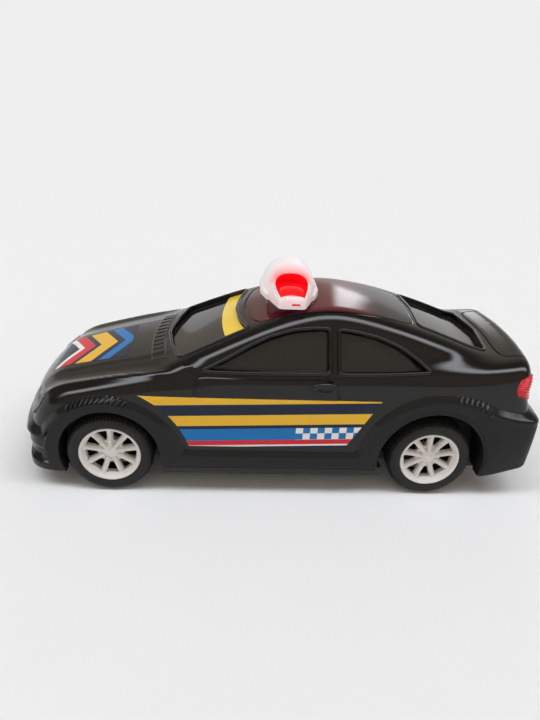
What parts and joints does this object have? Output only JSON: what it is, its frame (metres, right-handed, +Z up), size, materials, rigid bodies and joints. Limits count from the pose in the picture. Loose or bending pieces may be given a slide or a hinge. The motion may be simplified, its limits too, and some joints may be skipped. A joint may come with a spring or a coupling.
{
  "type": "toy police car",
  "caption": "Push-along toy police coupe with a gloss black shell, smoked windows, roof light bar, spoked wheels and a geared friction drive.",
  "frame": {"origin": "on the floor under the middle of the car", "axes": "+X towards the front bumper, +Y to the car's left, +Z up"},
  "size_m": [0.222, 0.087, 0.0916],
  "materials": {
    "body_black": "high gloss moulded ABS",
    "glazing_smoke": "smoked clear polystyrene, polished",
    "chassis_black": "fine spark texture",
    "trim_grey": "satin",
    "lamp_clear": "clear lens over a silvered back",
    "lamp_red": "transparent red lens",
    "bar_white": "milky translucent, gloss",
    "bar_red": "transparent red lens",
    "bar_blue": "transparent blue lens",
    "rim_cream": "satin gloss moulded",
    "tyre_black": "soft moulded, matt",
    "steel": "drawn, bright",
    "motor_blue": "moulded, satin",
    "gear_white": "moulded acetal",
    "gear_yellow": "moulded acetal",
    "flywheel_iron": "pressed and turned"
  },
  "bodies": {
    "car_body": {"body_shell": "body_black", "chassis_base": "chassis_black", "window_insert": "glazing_smoke", "rear_view_mirror": "trim_grey", "headlight_left": "lamp_clear", "headlight_right": "lamp_clear", "tail_light_left": "lamp_red", "tail_light_right": "lamp_red", "light_bar_housing": "bar_white", "light_bar_lens_left": "bar_red", "light_bar_lens_right": "bar_blue", "chassis_screws": "steel", "front_axle_keeper": "chassis_black", "keeper_screws": "steel", "motor_case_left": "motor_blue", "motor_case_right": "motor_blue", "motor_screws": "steel", "idler_shaft": "steel"},
    "front_wheels": {"front_axle": "steel", "front_rim_left": "rim_cream", "front_rim_right": "rim_cream", "front_tyre_left": "tyre_black", "front_tyre_right": "tyre_black"},
    "rear_wheels": {"rear_axle": "steel", "rear_rim_left": "rim_cream", "rear_rim_right": "rim_cream", "rear_tyre_left": "tyre_black", "rear_tyre_right": "tyre_black", "axle_gear": "gear_white"},
    "idler": {"idler_gear": "gear_yellow"},
    "flywheel_unit": {"flywheel": "flywheel_iron", "flywheel_shaft": "steel"}
  },
  "joints": [
    {"name": "front_axle_spin", "type": "hinge", "parent": "car_body", "child": "front_wheels", "pos_m": [0.0705, 0, 0.018], "axis": [0, 1, 0], "continuous": true},
    {"name": "rear_axle_spin", "type": "hinge", "parent": "car_body", "child": "rear_wheels", "pos_m": [-0.0645, 0, 0.018], "axis": [0, 1, 0], "continuous": true},
    {"name": "idler_spin", "type": "hinge", "parent": "car_body", "child": "idler", "pos_m": [-0.0548, 0, 0.0236], "axis": [0, 1, 0], "continuous": true},
    {"name": "flywheel_spin", "type": "hinge", "parent": "car_body", "child": "flywheel_unit", "pos_m": [-0.04219, 0, 0.02582], "axis": [0, 1, 0], "continuous": true}
  ],
  "couplings": [
    {"joint": "idler_spin", "follows": "rear_axle_spin", "ratio": -1.8},
    {"joint": "flywheel_spin", "follows": "rear_axle_spin", "ratio": 3.96}
  ]
}
